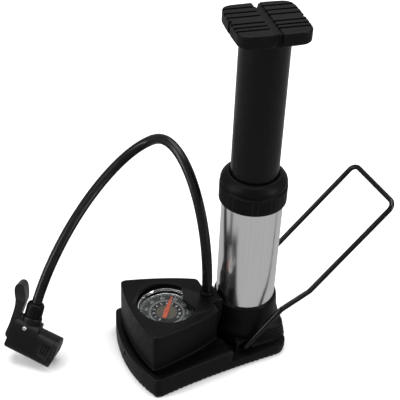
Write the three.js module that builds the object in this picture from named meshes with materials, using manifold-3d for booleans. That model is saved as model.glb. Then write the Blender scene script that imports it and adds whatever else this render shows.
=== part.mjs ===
// Foot-operated bicycle pump with a pressure gauge, a folding wire pedal and a hose with a lever head.
// Millimetres, +Z up. The origin is on the floor under the barrel axis; +X runs from the gauge end
// to the pedal end, and the base is symmetric about the XZ plane.

import * as THREE from 'three';
import { mergeVertices } from 'three/addons/utils/BufferGeometryUtils.js';
import Module from 'manifold-3d';

const wasm = await Module();
wasm.setup();

// ---------------------------------------------------------------- driving dimensions

const GAP = 0.3; // clearance between pieces that sit against each other
const ROUND = 32; // facets round the large turned pieces
const FINE = 16; // facets round the small turned pieces

const SOLE = { top: 2.7, inset: 0.6, cleat: 1.2 };
const TRAY = { bottom: 3, pocketTop: 5.4, floor: 8, ledge: 14.8, rim: 17.5, wall: 2.7, stepX: -26 };
const HOUSING = { bottom: 20, endX: -86, endTop: 51.7, fall: 0.075, wall: 2.2, roof: 2.5, edge: 1.2 };
const WINDOW = { radius: 21.5, tabX: -51, rootX: -46.5, rootY: 13.3 };
const GAUGE = { x: -63.8, outer: 22.3, inner: 20.7, bottom: 20.6, floor: 22.2, top: 43.7 };
const DIAL = { radius: 20.4, bottom: 39.5, top: 40.3 };
const NEEDLE = { tip: 16.6, tail: 8.2, azimuth: 53.7 };
const SOCKET = { bottom: 8.3, floor: 16, bore: 22.1, rim: 42.5, flare: 27.2, waist: 24.4 };
const BARREL = { outer: 21.8, inner: 20.4, bottom: 17.6, top: 140 };
const COLLAR = { outer: 24.1, bottom: 128.2, lip: 17.6 };
const TUBE = { outer: 17, inner: 15, bottom: 131.3, top: 256 };
const PISTON = { radius: 20.1, bottom: 121.3, top: 131, grooveRadius: 17.8 };
const HANDLE = { bottom: 256.3, top: 266, halfX: 25, halfY: 23.6, turn: -8.5, channel: 3, channelDepth: 1.2 };
const PIVOT = { x: -13.5, z: 12.5, hole: 3.9 };
const WIRE = {
  radius: 1.95, rise: 44.57, endHalf: 24.4, legHalf: 30, outerHalf: 28, offset: -10, length: 153.6,
};
const GLAND = { x: -31.9, bottom: 48.2, top: 51.8, radius: 5, hoseStart: 49.8 };
const HOSE = { radius: 3.8, sides: 8, steps: 36 };
const HEAD = {
  origin: [-150.7, 19.65, 1.95], mouthAzimuth: -40.6, mouthDip: 19, wide: 20, high: 26.6, low: 23, step: -15,
};
const NECK = { azimuth: 25, lean: 23, x: -23.3, z: 24.3 };
const NUT = { bottom: 6.4, top: 16.8, radius: 6.5, boreFloor: 10.5, hoseEnd: 10.9 };
const PIN = { x: -25, z: 22.8, radius: 1.6, half: 10.4 };
const CHAMBER = { z: 13.3, radius: 5.3 };
const VALVE = { radius: 5.2, bottom: 11.3, top: 12.8 };

// ---------------------------------------------------------------- solids, cuts and joins

function toSolid(geometry) {
  const bare = geometry.clone();
  bare.deleteAttribute('normal');
  bare.deleteAttribute('uv');
  const merged = mergeVertices(bare, 1e-4);
  return new wasm.Manifold(new wasm.Mesh({
    numProp: 3,
    vertProperties: new Float32Array(merged.attributes.position.array),
    triVerts: new Uint32Array(merged.index.array),
  }));
}

function toGeometry(solid) {
  const mesh = solid.getMesh();
  const geometry = new THREE.BufferGeometry();
  geometry.setAttribute('position', new THREE.BufferAttribute(new Float32Array(mesh.vertProperties), 3));
  geometry.setIndex(new THREE.BufferAttribute(new Uint32Array(mesh.triVerts), 1));
  geometry.computeVertexNormals();
  return geometry;
}

function join(first, ...others) {
  return others.reduce((solid, other) => solid.add(other), first);
}

function cut(first, ...others) {
  return others.reduce((solid, other) => solid.subtract(other), first);
}

// Turned about +Z from [radius, height] points; the profile starts and ends on the axis or closes on itself.
function turned(profile, facets = ROUND) {
  const points = profile.map(([radius, height]) => new THREE.Vector2(radius, height));
  return toSolid(new THREE.LatheGeometry(points, facets).rotateX(Math.PI / 2));
}

function disc(radius, bottom, top, facets = FINE, x = 0, y = 0) {
  return turned([[0, bottom], [radius, bottom], [radius, top], [0, top]], facets).translate([x, y, 0]);
}

function ring(inner, outer, bottom, top, facets = ROUND, x = 0, y = 0) {
  const profile = [[inner, bottom], [outer, bottom], [outer, top], [inner, top], [inner, bottom]];
  return turned(profile, facets).translate([x, y, 0]);
}

function block(minimum, maximum) {
  const size = maximum.map((value, axis) => value - minimum[axis]);
  const centre = maximum.map((value, axis) => (value + minimum[axis]) / 2);
  return toSolid(new THREE.BoxGeometry(...size).translate(...centre));
}

// A rod along +Y.
function crossRod(radius, x, z, fromY, toY, facets = 16) {
  const rod = new THREE.CylinderGeometry(radius, radius, toY - fromY, facets);
  return toSolid(rod.translate(x, (fromY + toY) / 2, z));
}

// A rod along +X at y = 0.
function longRod(radius, z, fromX, toX, facets = FINE) {
  const rod = new THREE.CylinderGeometry(radius, radius, toX - fromX, facets).rotateZ(-Math.PI / 2);
  return toSolid(rod.translate((fromX + toX) / 2, 0, z));
}

function polygon(points) {
  return new THREE.Shape(points.map(([x, y]) => new THREE.Vector2(x, y)));
}

function plate(shape, bottom, top, curveSegments = 6) {
  const options = { depth: top - bottom, bevelEnabled: false, curveSegments };
  const geometry = new THREE.ExtrudeGeometry(shape, options);
  return toSolid(geometry.translate(0, 0, bottom));
}

// An outline drawn in the XZ plane, made thick along Y about y = 0.
function upright(shape, thickness, curveSegments = 4) {
  const geometry = new THREE.ExtrudeGeometry(shape, { depth: thickness, bevelEnabled: false, curveSegments });
  return toSolid(geometry.translate(0, 0, -thickness / 2).rotateX(Math.PI / 2));
}

function sweep(curve, radius, sides, steps) {
  const corners = Array.from({ length: sides }, (_, i) => (2 * Math.PI * i) / sides);
  const section = polygon(corners.map((angle) => [radius * Math.cos(angle), radius * Math.sin(angle)]));
  return new THREE.ExtrudeGeometry(section, { extrudePath: curve, steps, bevelEnabled: false });
}

// A path through given stations, so a swept section turns exactly at each one.
class StationPath extends THREE.Curve {
  constructor(stations) {
    super();
    this.stations = stations;
  }

  getUtoTmapping(u) {
    return u;
  }

  getPoint(t, target = new THREE.Vector3()) {
    const place = t * (this.stations.length - 1);
    const index = Math.min(Math.floor(place), this.stations.length - 2);
    return target.lerpVectors(this.stations[index], this.stations[index + 1], place - index);
  }

  getTangent(t, target = new THREE.Vector3()) {
    const last = this.stations.length - 1;
    const index = Math.round(t * last);
    const before = this.stations[Math.max(index - 1, 0)];
    const here = this.stations[index];
    const after = this.stations[Math.min(index + 1, last)];
    const arriving = here.clone().sub(before).normalize();
    const leaving = after.clone().sub(here).normalize();
    return target.addVectors(arriving, leaving).normalize();
  }
}

// Stations along straight runs joined by arcs of the given radius at each inner corner.
function bentStations(corners, radii, arcSteps = 3) {
  const stations = [corners[0].clone()];
  for (let i = 1; i < corners.length - 1; i += 1) {
    const back = corners[i - 1].clone().sub(corners[i]).normalize();
    const on = corners[i + 1].clone().sub(corners[i]).normalize();
    const half = back.angleTo(on) / 2;
    const reach = radii[i - 1] / Math.tan(half);
    const centre = back.clone().add(on).normalize();
    centre.multiplyScalar(radii[i - 1] / Math.sin(half)).add(corners[i]);
    const first = corners[i].clone().addScaledVector(back, reach).sub(centre);
    const turn = Math.PI - 2 * half;
    const axis = back.clone().negate().cross(on).normalize();
    for (let step = 0; step <= arcSteps; step += 1) {
      stations.push(first.clone().applyAxisAngle(axis, (turn * step) / arcSteps).add(centre));
    }
  }
  stations.push(corners[corners.length - 1].clone());
  return stations;
}

// ---------------------------------------------------------------- outlines in plan

// Base outline, drawn inside the true edge by the given inset.
function baseOutline(inset) {
  const side = 34.4 - inset;
  const wide = 41.6 - inset;
  const gaugeEnd = -89.5 + inset;
  const corner = gaugeEnd + 5.5;
  const pedalEnd = 23.5 - inset;
  const shape = new THREE.Shape();
  shape.moveTo(corner, -wide);
  shape.quadraticCurveTo(-40, -side - 0.2, 10, -side);
  shape.quadraticCurveTo(pedalEnd - 1, -side, pedalEnd, -23);
  shape.quadraticCurveTo(pedalEnd + 8.5, 0, pedalEnd, 23);
  shape.quadraticCurveTo(pedalEnd - 1, side, 10, side);
  shape.quadraticCurveTo(-40, side + 0.2, corner, wide);
  shape.quadraticCurveTo(gaugeEnd + 1, wide + 0.6, gaugeEnd, 38.5 - inset);
  shape.quadraticCurveTo(gaugeEnd - 15, 0, gaugeEnd, inset - 38.5);
  shape.quadraticCurveTo(gaugeEnd + 1, -wide - 0.6, corner, -wide);
  return shape;
}

// Gauge housing outline with its neck to the barrel, drawn inside the true edge by the given inset.
function housingOutline(inset) {
  const wide = 33.6 - inset;
  const end = -87.8 + inset;
  const corner = end + 4.4;
  const narrow = 20.5 - inset;
  const shoulder = -30.8 - inset;
  const neck = 8.5 - inset;
  const shape = new THREE.Shape();
  shape.moveTo(corner, -wide);
  shape.quadraticCurveTo(-52, inset - 28.5, -33.5, -narrow);
  shape.quadraticCurveTo(shoulder, inset - 19.8, shoulder, inset - 16.5);
  shape.lineTo(shoulder, -neck - 3.5);
  shape.quadraticCurveTo(shoulder, -neck, shoulder + 3.8, -neck);
  shape.lineTo(-20, -neck);
  shape.lineTo(-20, neck);
  shape.lineTo(shoulder + 3.8, neck);
  shape.quadraticCurveTo(shoulder, neck, shoulder, neck + 3.5);
  shape.lineTo(shoulder, 16.5 - inset);
  shape.quadraticCurveTo(shoulder, 19.8 - inset, -33.5, narrow);
  shape.quadraticCurveTo(-52, 28.5 - inset, corner, wide);
  shape.quadraticCurveTo(end + 0.6, wide + 0.5, end, 31 - inset);
  shape.quadraticCurveTo(end - 7.2, 0, end, inset - 31);
  shape.quadraticCurveTo(end + 0.6, -wide - 0.5, corner, -wide);
  return shape;
}

// Stepped foot of the barrel socket at the pedal end.
function stepOutline(half, endX) {
  const shape = new THREE.Shape();
  shape.moveTo(-6, -half);
  shape.lineTo(12, -half);
  shape.quadraticCurveTo(endX - 2.5, -half, endX - 2, 8 - half);
  shape.quadraticCurveTo(endX + 2, 0, endX - 2, half - 8);
  shape.quadraticCurveTo(endX - 2.5, half, 12, half);
  shape.lineTo(-6, half);
  shape.closePath();
  return shape;
}

// ---------------------------------------------------------------- scene graph and finishes

const pump = new THREE.Group();
pump.name = 'floor_bike_pump';

const FINISH = {
  plastic: { color: 0x1a1a1b, roughness: 0.55, metalness: 0 },
  satin: { color: 0x141415, roughness: 0.38, metalness: 0 },
  rubber: { color: 0x101011, roughness: 0.8, metalness: 0 },
  hose: { color: 0x121213, roughness: 0.45, metalness: 0 },
  enamel: { color: 0x0c0c0d, roughness: 0.25, metalness: 0.2 },
  aluminium: { color: 0xc9cacc, roughness: 0.22, metalness: 1 },
  chrome: { color: 0xe6e6e8, roughness: 0.08, metalness: 1 },
  steel: { color: 0x9a9b9e, roughness: 0.35, metalness: 1 },
  brass: { color: 0xb08d4a, roughness: 0.35, metalness: 1 },
  dial: { color: 0x8d8f92, roughness: 0.5, metalness: 0 },
  needle: { color: 0xd4502a, roughness: 0.45, metalness: 0 },
  lens: { color: 0xe8eef0, roughness: 0.05, metalness: 0 },
};

function place(name, solid, finish, parent = pump) {
  const geometry = solid.isBufferGeometry ? solid : toGeometry(solid);
  const mesh = new THREE.Mesh(geometry, new THREE.MeshStandardMaterial(FINISH[finish]));
  mesh.name = name;
  parent.add(mesh);
  return mesh;
}

// ---------------------------------------------------------------- base: sole, tray and screws

const SCREWS = [[-78, -23], [-78, 23], [8, -20], [8, 20]];
const SCREW = { head: 3.2, shank: 1.5, hole: 1.8, headBottom: 1.6, headTop: 4, tip: 14 };

function makeSole() {
  const sheet = plate(baseOutline(SOLE.inset), 0, SOLE.top);
  const holes = SCREWS.map(([x, y]) => disc(SCREW.head + GAP, -1, SOLE.top + 1, 12, x, y));
  const cleats = [];
  for (let x = -90; x <= 10; x += 10) {
    cleats.push(block([x, 28, -1], [x + 2.4, 46, SOLE.cleat]));
    cleats.push(block([x, -46, -1], [x + 2.4, -28, SOLE.cleat]));
  }
  for (let y = -25; y <= 25; y += 10) {
    cleats.push(block([-104, y - 1.2, -1], [-84, y + 1.2, SOLE.cleat]));
  }
  return cut(sheet, ...holes, ...cleats);
}

function makeTray() {
  const floor = plate(baseOutline(0), TRAY.bottom, TRAY.floor);
  const pocket = plate(baseOutline(TRAY.wall), TRAY.bottom - 1, TRAY.pocketTop);
  const low = TRAY.bottom + 0.4;
  const cross = [-62, -20].map((x) => block([x - 1.1, -50, low], [x + 1.1, 50, TRAY.pocketTop]));
  const spine = block([-110, -1.1, TRAY.bottom + 0.4], [40, 1.1, TRAY.pocketTop]);
  const bosses = SCREWS.map(([x, y]) => disc(4.6, TRAY.bottom + 0.4, TRAY.floor, 12, x, y));
  const rim = cut(
    plate(baseOutline(0), TRAY.floor - 1, TRAY.rim),
    plate(baseOutline(TRAY.wall), TRAY.floor - 2, TRAY.rim + 1),
    block([TRAY.stepX, -60, TRAY.floor - 2], [60, 60, TRAY.rim + 1]),
  );
  const ledge = cut(
    plate(baseOutline(TRAY.wall - 0.5), TRAY.floor - 1, TRAY.ledge),
    plate(housingOutline(1.8), TRAY.floor - 2, TRAY.ledge + 1),
    block([TRAY.stepX, -60, TRAY.floor - 2], [60, 60, TRAY.ledge + 1]),
    disc(31, TRAY.floor - 2, TRAY.ledge + 1, ROUND),
  );
  const plinth = cut(
    plate(housingOutline(1.2), TRAY.floor - 1, HOUSING.bottom - GAP),
    plate(housingOutline(3.6), TRAY.floor - 2, HOUSING.bottom + 1),
    block([-38, -8, TRAY.floor - 2], [0, 8, HOUSING.bottom + 1]),
    disc(31, TRAY.floor - 2, HOUSING.bottom + 1, ROUND),
  );
  const holes = SCREWS.map(([x, y]) => join(
    disc(SCREW.hole, TRAY.bottom - 1, TRAY.floor + 1, 12, x, y),
    disc(SCREW.head + GAP, TRAY.bottom - 1, SCREW.headTop + GAP, 12, x, y),
  ));
  const endHole = longRod(1.9, 11, -110, -80, 14);
  const frame = cut(floor, cut(pocket, join(spine, ...cross, ...bosses)));
  return cut(join(frame, rim, ledge, plinth), ...holes, endHole);
}

function makeScrew([x, y]) {
  const body = turned([
    [0, SCREW.headBottom], [SCREW.head - 0.6, SCREW.headBottom], [SCREW.head, SCREW.headBottom + 0.7],
    [SCREW.head, SCREW.headTop], [SCREW.shank, SCREW.headTop], [SCREW.shank, SCREW.tip - 1.5], [0, SCREW.tip],
  ], 12);
  const slots = [
    block([-2, -0.4, SCREW.headBottom - 1], [2, 0.4, SCREW.headBottom + 1]),
    block([-0.4, -2, SCREW.headBottom - 1], [0.4, 2, SCREW.headBottom + 1]),
  ];
  return cut(body, ...slots).translate([x, y, 0]);
}

place('rubber_sole', makeSole(), 'rubber');
place('base_tray', makeTray(), 'plastic');
SCREWS.forEach((spot, index) => place(`base_screw_${index + 1}`, makeScrew(spot), 'steel'));

// ---------------------------------------------------------------- gauge housing

// Everything below the sloping roof plane, lowered by the given depth.
function underRoof(depth) {
  const heightAt = (x) => HOUSING.endTop - HOUSING.fall * (x - HOUSING.endX) - depth;
  return upright(polygon([[-110, 0], [0, 0], [0, heightAt(0)], [-110, heightAt(-110)]]), 100);
}

function makeHousing() {
  const edges = [[0, HOUSING.edge], [HOUSING.edge * 0.3, HOUSING.edge * 0.45], [HOUSING.edge, 0]];
  const shells = edges.map(([inset, depth]) => (
    plate(housingOutline(inset), HOUSING.bottom, 60).intersect(underRoof(depth))
  ));
  const room = plate(housingOutline(HOUSING.wall), HOUSING.bottom - 1, 60);
  const hollow = room.intersect(underRoof(HOUSING.roof));
  const tab = polygon([
    [WINDOW.tabX, 0], [WINDOW.rootX, -WINDOW.rootY], [-40, -24], [-30, -24], [-30, 24], [-40, 24],
    [WINDOW.rootX, WINDOW.rootY],
  ]);
  const window = disc(WINDOW.radius, 40, 60, 40, GAUGE.x).subtract(plate(tab, 39, 61));
  const lowered = underRoof(HOUSING.roof - 0.5);
  const posts = SCREWS.slice(0, 2).map(
    ([x, y]) => disc(3.4, TRAY.floor + GAP, 60, 12, x, y).intersect(lowered),
  );
  const postHoles = SCREWS.slice(0, 2).map(([x, y]) => disc(SCREW.hole, 0, SCREW.tip + GAP, 12, x, y));
  const boss = disc(5.6, 38, 47.9, FINE, GLAND.x);
  const socketRoom = turned([
    [0, 15], [SOCKET.flare + 0.35, 15], [SOCKET.flare + 0.15, 20], [25.55, 26], [24.75, 31], [24.25, 37],
    [24.1, 60], [0, 60],
  ]);
  const shell = cut(join(...shells), hollow, window);
  return cut(join(shell, ...posts, boss), ...postHoles, disc(3.3, 30, 60, FINE, GLAND.x), socketRoom);
}

place('gauge_housing', makeHousing(), 'plastic');

// ---------------------------------------------------------------- gauge

function makeCase() {
  const { outer, inner, bottom, floor, top } = GAUGE;
  return turned([
    [0, bottom], [outer, bottom], [outer, top], [inner, top], [inner, floor], [0, floor],
  ]);
}

function makeDial() {
  const { radius, bottom, top } = DIAL;
  return turned([
    [1.3, bottom], [radius, bottom], [radius, top], [1.3, top], [1.3, bottom],
  ]);
}

function makeBezel() {
  return turned([[19.6, 44.3], [22.3, 44.3], [22.3, 45.1], [21.2, 45.5], [19.6, 44.9], [19.6, 44.3]], 40);
}

function makeNeedle() {
  const hub = disc(2.2, 41, 42.6, FINE);
  const blade = plate(polygon([
    [-NEEDLE.tail, -1.3], [-2, -1.5], [NEEDLE.tip - 1, -0.4], [NEEDLE.tip, 0], [NEEDLE.tip - 1, 0.4],
    [-2, 1.5], [-NEEDLE.tail, 1.3],
  ]), 41.5, 42.1);
  return join(hub, blade);
}

// The curved pressure tube, three quarters of a turn, and the movement block that it drives.
function makeBourdon() {
  const stations = Array.from({ length: 13 }, (_, i) => {
    const angle = THREE.MathUtils.degToRad(45 + 22.5 * i);
    return new THREE.Vector3(14 * Math.cos(angle), 14 * Math.sin(angle), 30);
  });
  return sweep(new StationPath(stations), 2, 6, stations.length - 1);
}

function makeMovement() {
  const frame = block([-6, -5, 22.6], [6, 5, 32.6]);
  const windowCut = block([-4.4, -6, 26], [4.4, 6, 30]);
  const foot = block([4, -3, 22.6], [12, 3, 25]);
  return join(cut(frame, windowCut), foot);
}

const gauge = new THREE.Group();
gauge.position.x = GAUGE.x;
pump.add(gauge);

place('gauge_case', makeCase(), 'plastic', gauge);
place('gauge_dial', makeDial(), 'dial', gauge);
place('gauge_bezel', makeBezel(), 'chrome', gauge);
place('gauge_lens', disc(20.4, 43, 44, ROUND), 'lens', gauge);
place('bourdon_tube', makeBourdon(), 'brass', gauge);
place('gauge_movement', makeMovement(), 'brass', gauge);
place('gauge_stem', disc(5, 14.8, 20.3, 6), 'brass', gauge);
place('needle_arbor', disc(0.9, 32.9, 40.7, 12), 'steel', gauge);
place('gauge_needle', makeNeedle(), 'needle', gauge).rotation.z = THREE.MathUtils.degToRad(NEEDLE.azimuth);

// ---------------------------------------------------------------- air way under the housing

function makeManifold() {
  const bar = block([-70.5, -4.5, SOCKET.bottom], [-27.7, 4.5, 14.5]);
  const riser = disc(3, 12, 44.2, FINE, GLAND.x);
  const channel = longRod(1.5, 10.4, -66, -20, 16);
  const ports = [disc(1.4, 10.4, 50, 16, GLAND.x), disc(1.4, 10.4, 20, 16, GAUGE.x)];
  return cut(join(bar, riser), channel, ...ports);
}

place('air_manifold', makeManifold(), 'plastic');
place('outlet_valve', disc(VALVE.radius, VALVE.bottom, VALVE.top), 'rubber');

// ---------------------------------------------------------------- barrel socket and pedal pivots

function makeSocket() {
  const { bottom, floor, bore, rim, flare, waist } = SOCKET;
  const cup = turned([
    [0, bottom], [flare, bottom], [flare - 0.2, 20], [25.2, 26], [waist, 31], [waist - 0.5, 37],
    [waist - 1.4, rim], [0, rim],
  ]);
  const steps = [
    plate(stepOutline(27.6, 27), bottom, 10.6),
    plate(stepOutline(26.4, 25.6), bottom, 17.6),
    plate(stepOutline(25.2, 24.4), bottom, 23),
  ];
  const pivots = block([PIVOT.x - 5, -27.4, bottom], [PIVOT.x + 5, 27.4, 17.5]);
  const bushHoles = [[23.4, 30], [-30, -23.4]].map(
    ([from, to]) => crossRod(PIVOT.hole, PIVOT.x, PIVOT.z, from, to),
  );
  const screwHoles = SCREWS.slice(2).map(([x, y]) => disc(SCREW.hole, 0, SCREW.tip + GAP, 12, x, y));
  return cut(
    join(cup, ...steps, pivots),
    disc(bore, floor, rim + 1, ROUND),
    disc(6, bottom - 1, 13.2),
    disc(2, 13, floor + 1),
    longRod(1.5, 10.4, -32, 0, 16),
    ...bushHoles,
    ...screwHoles,
  );
}

function makeBush(side) {
  const bush = cut(
    crossRod(3.6, PIVOT.x, PIVOT.z, 24, 27.3),
    crossRod(2.3, PIVOT.x, PIVOT.z, 23, 28),
  );
  return side > 0 ? bush : bush.mirror([0, 1, 0]);
}

place('barrel_socket', makeSocket(), 'plastic');
place('pedal_bush_left', makeBush(-1), 'satin');
place('pedal_bush_right', makeBush(1), 'satin');

// ---------------------------------------------------------------- barrel, collar and seals

function makeCollar() {
  const { outer, bottom, lip } = COLLAR;
  return turned([
    [BARREL.outer + GAP, bottom], [outer, bottom], [outer, 141.4], [23.3, 141.7], [23.3, 142.3], [24, 142.6],
    [23.6, 144.5], [22.6, 146.6], [21, 148.4], [19, 149.8], [lip, 150.4], [lip, 147.2], [20.2, 147.2],
    [20.2, 143], [BARREL.outer + GAP, 143], [BARREL.outer + GAP, bottom],
  ]);
}

function makeGuideBush() {
  return turned([
    [17.3, 134.5], [20.1, 134.5], [20.1, 140.3], [21.8, 140.3], [21.8, 142.7], [17.3, 142.7], [17.3, 134.5],
  ]);
}

place('barrel_tube', ring(BARREL.inner, BARREL.outer, BARREL.bottom, BARREL.top), 'aluminium');
place('foot_seal', ring(20.6, 21.7, 16.3, 17.3), 'rubber');
place('collar_nut', makeCollar(), 'plastic');
place('guide_bush', makeGuideBush(), 'satin');
place('wiper_ring', ring(17.25, 19.9, 143.2, 146.9), 'rubber');

// ---------------------------------------------------------------- plunger and handle

function makePiston() {
  const { radius, bottom, top, grooveRadius } = PISTON;
  return turned([
    [0, bottom], [radius - 0.5, bottom], [radius, bottom + 0.5], [radius, 124.4], [grooveRadius, 124.4],
    [grooveRadius, 127.8], [radius, 127.8], [radius, top], [TUBE.inner - GAP, top], [TUBE.inner - GAP, 141],
    [13.7, 142], [0, 142],
  ]);
}

function makeOring() {
  const circle = Array.from({ length: 9 }, (_, i) => {
    const angle = (2 * Math.PI * (i % 8)) / 8;
    return [19.1 + 1.2 * Math.cos(angle), 126.1 + 1.2 * Math.sin(angle)];
  });
  return turned(circle);
}

function handleOutline() {
  const { halfX, halfY } = HANDLE;
  const cornerX = halfX - 8;
  const cornerY = halfY - 8;
  const shape = new THREE.Shape();
  shape.moveTo(-cornerX, -halfY + 0.4);
  shape.quadraticCurveTo(0, -halfY - 0.4, cornerX, -halfY + 0.4);
  shape.quadraticCurveTo(halfX - 1, -halfY + 1, halfX - 0.4, -cornerY);
  shape.quadraticCurveTo(halfX + 0.4, 0, halfX - 0.4, cornerY);
  shape.quadraticCurveTo(halfX - 1, halfY - 1, cornerX, halfY - 0.4);
  shape.quadraticCurveTo(0, halfY + 0.4, -cornerX, halfY - 0.4);
  shape.quadraticCurveTo(-halfX + 1, halfY - 1, -halfX + 0.4, cornerY);
  shape.quadraticCurveTo(-halfX - 0.4, 0, -halfX + 0.4, -cornerY);
  shape.quadraticCurveTo(-halfX + 1, -halfY + 1, -cornerX, -halfY + 0.4);
  return shape;
}

function makeHandle() {
  const { bottom, top, halfX, halfY, channel, channelDepth } = HANDLE;
  const slab = plate(handleOutline(), bottom, top);
  const spigot = disc(TUBE.inner - GAP, 243, bottom + 1, ROUND);
  const grooves = [17, 10.6, 4.4, -5, -10.2, -14.8].flatMap((y) => [
    block([-30, y - 1, top - 1.6], [-2, y + 1, top + 1]),
    block([2, y - 1, top - 1.6], [30, y + 1, top + 1]),
  ]);
  const seat = block([-channel, -40, top - channelDepth], [channel, 40, top + 1]);
  const frontNotch = disc(3.4, bottom - 1, top + 1, 16, 0, -halfY - 0.6);
  const notchOutline = polygon([[-4.2, halfY + 1], [-1, halfY - 6], [2.2, halfY + 1]]);
  const backNotch = plate(notchOutline, bottom - 1, top + 1);
  const sideNotches = [-1, 1].map((side) => disc(2.2, bottom - 1, top + 1, 12, side * (halfX + 0.2), -0.6));
  return cut(join(slab, spigot), ...grooves, seat, frontNotch, backNotch, ...sideNotches);
}

const grip = new THREE.Group();
grip.rotation.z = THREE.MathUtils.degToRad(HANDLE.turn);
pump.add(grip);

place('plunger_tube', ring(TUBE.inner, TUBE.outer, TUBE.bottom, TUBE.top), 'satin');
place('piston', makePiston(), 'plastic');
place('piston_oring', makeOring(), 'rubber');
place('handle_tread', makeHandle(), 'plastic', grip);

// ---------------------------------------------------------------- folding wire pedal

// Pedal points are [along, across, y]: along the raised pedal from its pivot, and square to it.
function pedalPoint([along, across, y]) {
  const rise = THREE.MathUtils.degToRad(WIRE.rise);
  const x = PIVOT.x + along * Math.cos(rise) - across * Math.sin(rise);
  const z = PIVOT.z + along * Math.sin(rise) + across * Math.cos(rise);
  return new THREE.Vector3(x, y, z);
}

function makePedal() {
  const { endHalf, legHalf, outerHalf, offset, length } = WIRE;
  const half = [
    [0, 0, endHalf], [0, 0, legHalf], [41, 0.8, legHalf],
    [64, offset, outerHalf], [length, offset, outerHalf],
  ];
  const mirrored = half.map(([along, across, y]) => [along, across, -y]).reverse();
  const radii = [3, 6, 6, 6];
  const stations = bentStations([...half, ...mirrored].map(pedalPoint), [...radii, ...[...radii].reverse()]);
  return sweep(new StationPath(stations), WIRE.radius, 8, stations.length - 1);
}

place('pedal_wire', makePedal(), 'enamel');

// ---------------------------------------------------------------- hose head with its lock lever

// A direction from its azimuth and its elevation, in degrees.
function aim(azimuth, elevation) {
  const turn = THREE.MathUtils.degToRad(azimuth);
  const rise = THREE.MathUtils.degToRad(elevation);
  return new THREE.Vector3(
    Math.cos(turn) * Math.cos(rise),
    Math.sin(turn) * Math.cos(rise),
    Math.sin(rise),
  );
}

// Head axes: x runs out through the mouth, y along the lever pin, z up square to both.
const hoseUp = aim(NECK.azimuth, 90 - NECK.lean);
const headMouth = aim(HEAD.mouthAzimuth, -HEAD.mouthDip);
const headSide = hoseUp.clone().cross(headMouth).normalize();
const headUp = headMouth.clone().cross(headSide);
const head = new THREE.Group();
head.position.set(...HEAD.origin);
head.quaternion.setFromRotationMatrix(new THREE.Matrix4().makeBasis(headMouth, headSide, headUp));
pump.add(head);

// The neck leans back a little from the head, and its z runs up the hose.
const neckTurn = Math.asin(headMouth.dot(hoseUp));
const neck = new THREE.Group();
neck.position.set(NECK.x, 0, NECK.z);
neck.rotation.y = neckTurn;
head.add(neck);
head.updateMatrixWorld(true);

function onNeck(solid) {
  return solid.rotate([0, THREE.MathUtils.radToDeg(neckTurn), 0]).translate([NECK.x, 0, NECK.z]);
}

// The rounded section of the head, run along the mouth axis.
function headBar(fromX, toX, high) {
  const half = HEAD.wide / 2;
  const corner = 8;
  const shape = new THREE.Shape();
  shape.moveTo(-half + corner, 0);
  shape.lineTo(half - corner, 0);
  shape.absarc(half - corner, corner, corner, -Math.PI / 2, 0);
  shape.absarc(half - corner, high - corner, corner, 0, Math.PI / 2);
  shape.absarc(corner - half, high - corner, corner, Math.PI / 2, Math.PI);
  shape.absarc(corner - half, corner, corner, Math.PI, 1.5 * Math.PI);
  const options = { depth: toX - fromX, bevelEnabled: false, curveSegments: 4 };
  const bar = new THREE.ExtrudeGeometry(shape, options).rotateX(Math.PI / 2).rotateZ(Math.PI / 2);
  return toSolid(bar.translate(fromX, 0, 0));
}

function headProfile() {
  const shape = new THREE.Shape();
  shape.moveTo(-0.6, -1);
  shape.lineTo(-28, -1);
  shape.quadraticCurveTo(-34, -0.6, -34, 6);
  shape.lineTo(-34, 22);
  shape.quadraticCurveTo(-34, HEAD.high, -29, HEAD.high + 1);
  shape.lineTo(-0.6, HEAD.high + 1);
  return shape;
}

// Room for the lever to swing back from upright.
function leverSlot() {
  const wide = 4.8;
  const sweep = crossRod(19, PIN.x, PIN.z, -wide, wide, 28);
  const lowRoom = sweep.intersect(block([-60, -9, 0], [-12.8, 9, 20.2]));
  const highRoom = sweep.intersect(block([-60, -9, 15], [HEAD.step - 1, 9, 23.1]));
  const hubRoom = crossRod(4.5, PIN.x, PIN.z, -wide, wide, 20);
  const neckRoom = block([-60, -wide, 5], [PIN.x - 1, wide, 28.3]);
  const armRoom = block([-60, -wide, 5], [-32.3, wide, 40]);
  return join(lowRoom, highRoom, hubRoom, neckRoom, armRoom);
}

function makeHeadBody() {
  const bars = join(headBar(-42, HEAD.step, HEAD.high), headBar(HEAD.step - 1, -0.6, HEAD.low));
  const shell = bars.intersect(upright(headProfile(), 30));
  const boss = onNeck(disc(7.2, -7.5, NUT.bottom - 0.3, FINE));
  const ribs = [-7.4, -5.2, -3].flatMap((x) => [
    block([x - 0.5, 9, 11], [x + 0.5, 12, 20]),
    block([x - 0.5, -12, 11], [x + 0.5, -9, 20]),
  ]);
  return cut(
    join(shell, boss),
    leverSlot(),
    longRod(CHAMBER.radius, CHAMBER.z, -16, 1),
    longRod(7.7, CHAMBER.z, -5.3, 1),
    onNeck(disc(1, -3, 8, 12)),
    crossRod(PIN.radius + GAP, PIN.x, PIN.z, -14, 14),
    ...ribs,
  );
}

function makeHeadNozzle() {
  const shape = new THREE.Shape();
  shape.moveTo(-0.3, -1);
  shape.lineTo(1.4, -1);
  shape.quadraticCurveTo(5.4, CHAMBER.z, 1.4, HEAD.low + 1);
  shape.lineTo(-0.3, HEAD.low + 1);
  const cap = headBar(-1, 6, HEAD.low).intersect(upright(shape, 30, 10));
  return cut(
    join(cap, longRod(7.4, CHAMBER.z, -5, 1)),
    longRod(5.3, CHAMBER.z, -6, 2.7),
    longRod(3.9, CHAMBER.z, 0, 6),
  );
}

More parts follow.
